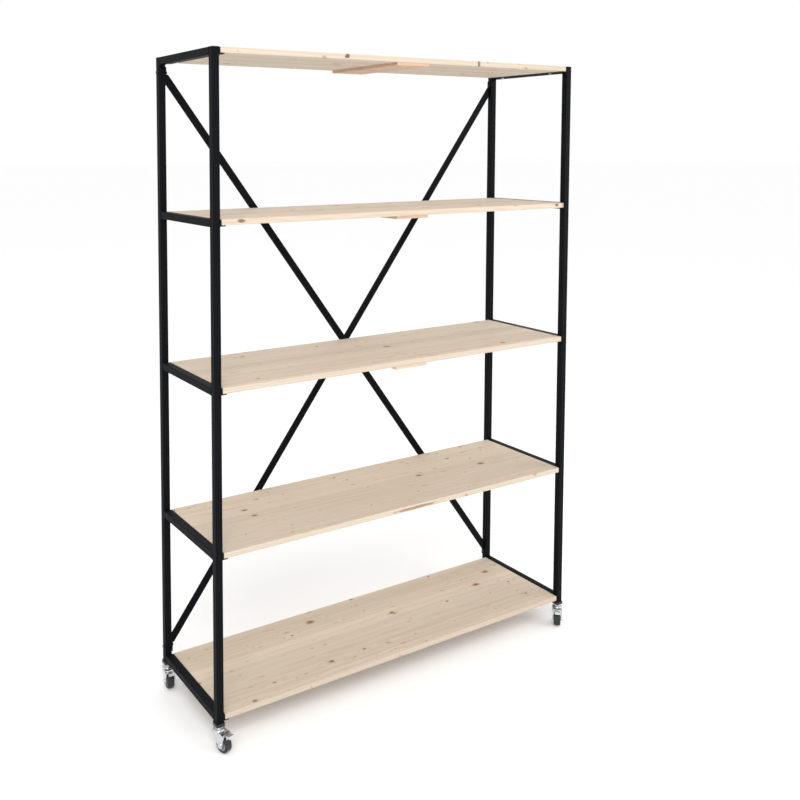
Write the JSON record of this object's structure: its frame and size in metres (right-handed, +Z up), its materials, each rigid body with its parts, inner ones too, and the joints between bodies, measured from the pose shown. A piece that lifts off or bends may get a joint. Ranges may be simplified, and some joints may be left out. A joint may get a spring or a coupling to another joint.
{
  "type": "bookcase with adjustable shelves",
  "caption": "Open rolling bookcase: black square-tube side frames, spruce boards on angles with cross battens, X-braced back and braked swivel castors.",
  "frame": {"origin": "on the floor, under the centre of the whole object's bounding box", "axes": "+Z up; the open front faces -Y; the width runs along X, with +X to the right seen from the front"},
  "size_m": [1.2656, 0.4116, 1.792],
  "materials": {
    "black_steel": "fine satin black powder coat",
    "black_fastener": "blackened steel",
    "spruce": "untreated planed edge-glued spruce",
    "batten_wood": "planed softwood, a little redder than the boards",
    "black_plastic": "moulded black foot insert",
    "zinc": "bright zinc plated pressed steel",
    "hub_plastic": "grey moulded wheel centre",
    "tyre_rubber": "dark grey rubber tread"
  },
  "bodies": {
    "frame": {"post_front_left": "black_steel", "post_front_right": "black_steel", "post_rear_left": "black_steel", "post_rear_right": "black_steel", "rail_left_1": "black_steel", "rail_right_1": "black_steel", "shelf_supports_1": "black_steel", "board_1": "spruce", "batten_1": "batten_wood", "rail_left_2": "black_steel", "rail_right_2": "black_steel", "shelf_supports_2": "black_steel", "board_2": "spruce", "batten_2": "batten_wood", "rail_left_3": "black_steel", "rail_right_3": "black_steel", "shelf_supports_3": "black_steel", "board_3": "spruce", "batten_3": "batten_wood", "rail_left_4": "black_steel", "rail_right_4": "black_steel", "shelf_supports_4": "black_steel", "board_4": "spruce", "rail_left_5": "black_steel", "rail_right_5": "black_steel", "shelf_supports_5": "black_steel", "board_5": "spruce", "board_screws": "zinc", "batten_screws": "zinc", "brace_falling": "black_steel", "brace_rising": "black_steel", "brace_bolts": "black_fastener", "brace_nuts": "black_fastener", "brace_rivet": "black_fastener", "post_caps": "black_steel", "foot_sockets": "black_plastic", "castor_stems": "zinc"},
    "swivel_front_left": {"castor_fork_front_left": "zinc", "castor_axle_front_left": "zinc"},
    "wheel_front_left": {"castor_wheel_front_left": "hub_plastic", "castor_tyre_front_left": "tyre_rubber"},
    "pedal_front_left": {"castor_pedal_front_left": "zinc"},
    "swivel_front_right": {"castor_fork_front_right": "zinc", "castor_axle_front_right": "zinc"},
    "wheel_front_right": {"castor_wheel_front_right": "hub_plastic", "castor_tyre_front_right": "tyre_rubber"},
    "pedal_front_right": {"castor_pedal_front_right": "zinc"},
    "swivel_rear_left": {"castor_fork_rear_left": "zinc", "castor_axle_rear_left": "zinc"},
    "wheel_rear_left": {"castor_wheel_rear_left": "hub_plastic", "castor_tyre_rear_left": "tyre_rubber"},
    "pedal_rear_left": {"castor_pedal_rear_left": "zinc"},
    "swivel_rear_right": {"castor_fork_rear_right": "zinc", "castor_axle_rear_right": "zinc"},
    "wheel_rear_right": {"castor_wheel_rear_right": "hub_plastic", "castor_tyre_rear_right": "tyre_rubber"},
    "pedal_rear_right": {"castor_pedal_rear_right": "zinc"}
  },
  "joints": [
    {"name": "castor_swivel_front_left", "type": "hinge", "parent": "frame", "child": "swivel_front_left", "pos_m": [-0.61294, -0.15523, 0.062], "axis": [0, 0, 1], "continuous": true},
    {"name": "wheel_spin_front_left", "type": "hinge", "parent": "swivel_front_left", "child": "wheel_front_left", "pos_m": [-0.60803, -0.17358, 0.021], "axis": [0.9659, 0.2588, 0], "continuous": true},
    {"name": "brake_pedal_front_left", "type": "hinge", "parent": "swivel_front_left", "child": "pedal_front_left", "pos_m": [-0.60596, -0.18131, 0.0462], "axis": [0.9659, 0.2588, 0], "range_deg": [0, 10]},
    {"name": "castor_swivel_front_right", "type": "hinge", "parent": "frame", "child": "swivel_front_right", "pos_m": [0.61506, -0.15523, 0.062], "axis": [0, 0, 1], "continuous": true},
    {"name": "wheel_spin_front_right", "type": "hinge", "parent": "swivel_front_right", "child": "wheel_front_right", "pos_m": [0.60139, -0.16843, 0.021], "axis": [0.6947, -0.7193, 0], "continuous": true},
    {"name": "brake_pedal_front_right", "type": "hinge", "parent": "swivel_front_right", "child": "pedal_front_right", "pos_m": [0.59563, -0.17399, 0.0462], "axis": [0.6947, -0.7193, 0], "range_deg": [0, 10]},
    {"name": "castor_swivel_rear_left", "type": "hinge", "parent": "frame", "child": "swivel_rear_left", "pos_m": [-0.61294, 0.17477, 0.062], "axis": [0, 0, 1], "continuous": true},
    {"name": "wheel_spin_rear_left", "type": "hinge", "parent": "swivel_rear_left", "child": "wheel_rear_left", "pos_m": [-0.61559, 0.15595, 0.021], "axis": [0.9903, -0.1392, 0], "continuous": true},
    {"name": "brake_pedal_rear_left", "type": "hinge", "parent": "swivel_rear_left", "child": "pedal_rear_left", "pos_m": [-0.6167, 0.14803, 0.0462], "axis": [0.9903, -0.1392, 0], "range_deg": [0, 10]},
    {"name": "castor_swivel_rear_right", "type": "hinge", "parent": "frame", "child": "swivel_rear_right", "pos_m": [0.61506, 0.17477, 0.062], "axis": [0, 0, 1], "continuous": true},
    {"name": "wheel_spin_rear_right", "type": "hinge", "parent": "swivel_rear_right", "child": "wheel_rear_right", "pos_m": [0.59828, 0.18369, 0.021], "axis": [-0.4695, -0.8829, 0], "continuous": true},
    {"name": "brake_pedal_rear_right", "type": "hinge", "parent": "swivel_rear_right", "child": "pedal_rear_right", "pos_m": [0.59122, 0.18745, 0.0462], "axis": [-0.4695, -0.8829, 0], "range_deg": [0, 10]}
  ]
}
